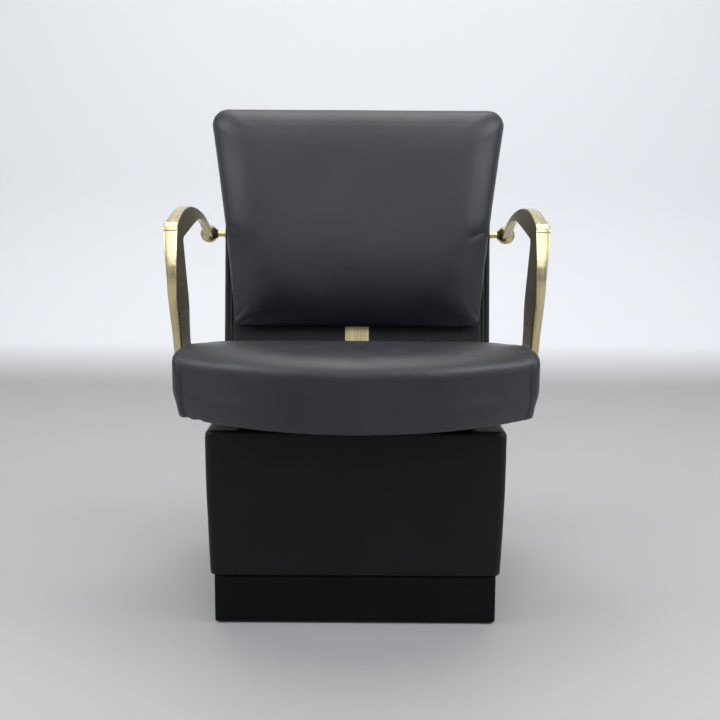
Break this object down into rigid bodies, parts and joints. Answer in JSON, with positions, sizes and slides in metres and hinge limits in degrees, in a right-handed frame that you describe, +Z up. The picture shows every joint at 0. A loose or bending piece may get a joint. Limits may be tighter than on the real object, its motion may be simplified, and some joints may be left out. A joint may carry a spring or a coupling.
{
  "type": "salon dryer chair",
  "caption": "Black vinyl salon dryer chair with a bow-fronted seat, a tapered back, gold arms and an upholstered box base on levelling feet.",
  "frame": {"origin": "on the floor, under the middle of the whole chair's bounding box", "axes": "+Z up, -Y towards the front that the sitter faces, +X to the right of a viewer who faces the chair"},
  "size_m": [0.6632, 0.7324, 0.9403],
  "materials": {
    "vinyl": "satin grained vinyl",
    "vinyl_dark": "satin grained vinyl",
    "cloth": "matte woven cloth",
    "foam": "matte open-cell foam",
    "plywood": "unfinished plywood",
    "stained_wood": "matte black stain",
    "hardwood": "unfinished hardwood",
    "gold_cast": "polished, tinted pale gold",
    "gold_bar": "polished, plated pale gold",
    "steel": "zinc plated",
    "nylon": "matte"
  },
  "bodies": {
    "chair": {"seat_cover": "vinyl", "back_panel_cover": "vinyl", "back_cushion_cover": "vinyl", "plinth_cover": "vinyl_dark", "box_cover": "vinyl_dark", "dust_cover": "cloth", "seat_foam": "foam", "back_foam": "foam", "plinth_front": "plywood", "plinth_rear": "plywood", "plinth_right": "plywood", "plinth_left": "plywood", "box_floor": "plywood", "box_front": "plywood", "box_rear": "plywood", "box_right": "plywood", "box_left": "plywood", "box_top": "plywood", "seat_board": "plywood", "back_board": "plywood", "cushion_board": "plywood", "riser_right": "stained_wood", "riser_left": "stained_wood", "box_corner_blocks": "hardwood", "arm_block_right": "hardwood", "arm_block_left": "hardwood", "back_rail_right": "hardwood", "back_rail_left": "hardwood", "back_rail_top": "hardwood", "back_rail_bottom": "hardwood", "arm_right": "gold_cast", "arm_left": "gold_cast", "bracket_bar": "gold_bar", "bracket_bolts": "gold_bar", "arm_pin_right": "gold_bar", "arm_pin_left": "gold_bar", "pin_collars": "gold_bar", "arm_bolts_right": "gold_bar", "arm_bolts_left": "gold_bar", "foot_inserts": "steel", "plinth_screws": "steel", "seat_bolts": "steel", "seat_tee_nuts": "steel", "cushion_screws": "steel", "set_screws": "steel", "arm_inserts": "steel"},
    "foot_front_right": {"foot_pad_front_right": "nylon"},
    "stem_front_right": {"foot_stem_front_right": "steel"},
    "foot_front_left": {"foot_pad_front_left": "nylon"},
    "stem_front_left": {"foot_stem_front_left": "steel"},
    "foot_rear_right": {"foot_pad_rear_right": "nylon"},
    "stem_rear_right": {"foot_stem_rear_right": "steel"},
    "foot_rear_left": {"foot_pad_rear_left": "nylon"},
    "stem_rear_left": {"foot_stem_rear_left": "steel"}
  },
  "joints": [
    {"name": "foot_height_front_right", "type": "slide", "parent": "chair", "child": "foot_front_right", "axis": [0, 0, -1], "range_m": [0, 0.008]},
    {"name": "stem_turn_front_right", "type": "hinge", "parent": "foot_front_right", "child": "stem_front_right", "pos_m": [0.2405, -0.11533, 0.004], "axis": [0, 0, -1], "range_deg": [0, 2880]},
    {"name": "foot_height_front_left", "type": "slide", "parent": "chair", "child": "foot_front_left", "axis": [0, 0, -1], "range_m": [0, 0.008]},
    {"name": "stem_turn_front_left", "type": "hinge", "parent": "foot_front_left", "child": "stem_front_left", "pos_m": [-0.2405, -0.11533, 0.004], "axis": [0, 0, -1], "range_deg": [0, 2880]},
    {"name": "foot_height_rear_right", "type": "slide", "parent": "chair", "child": "foot_rear_right", "axis": [0, 0, -1], "range_m": [0, 0.008]},
    {"name": "stem_turn_rear_right", "type": "hinge", "parent": "foot_rear_right", "child": "stem_rear_right", "pos_m": [0.2405, 0.33967, 0.004], "axis": [0, 0, -1], "range_deg": [0, 2880]},
    {"name": "foot_height_rear_left", "type": "slide", "parent": "chair", "child": "foot_rear_left", "axis": [0, 0, -1], "range_m": [0, 0.008]},
    {"name": "stem_turn_rear_left", "type": "hinge", "parent": "foot_rear_left", "child": "stem_rear_left", "pos_m": [-0.2405, 0.33967, 0.004], "axis": [0, 0, -1], "range_deg": [0, 2880]}
  ],
  "couplings": [
    {"joint": "stem_turn_front_right", "follows": "foot_height_front_right", "rad_per_m": 6283.2},
    {"joint": "stem_turn_front_left", "follows": "foot_height_front_left", "rad_per_m": 6283.2},
    {"joint": "stem_turn_rear_right", "follows": "foot_height_rear_right", "rad_per_m": 6283.2},
    {"joint": "stem_turn_rear_left", "follows": "foot_height_rear_left", "rad_per_m": 6283.2}
  ]
}
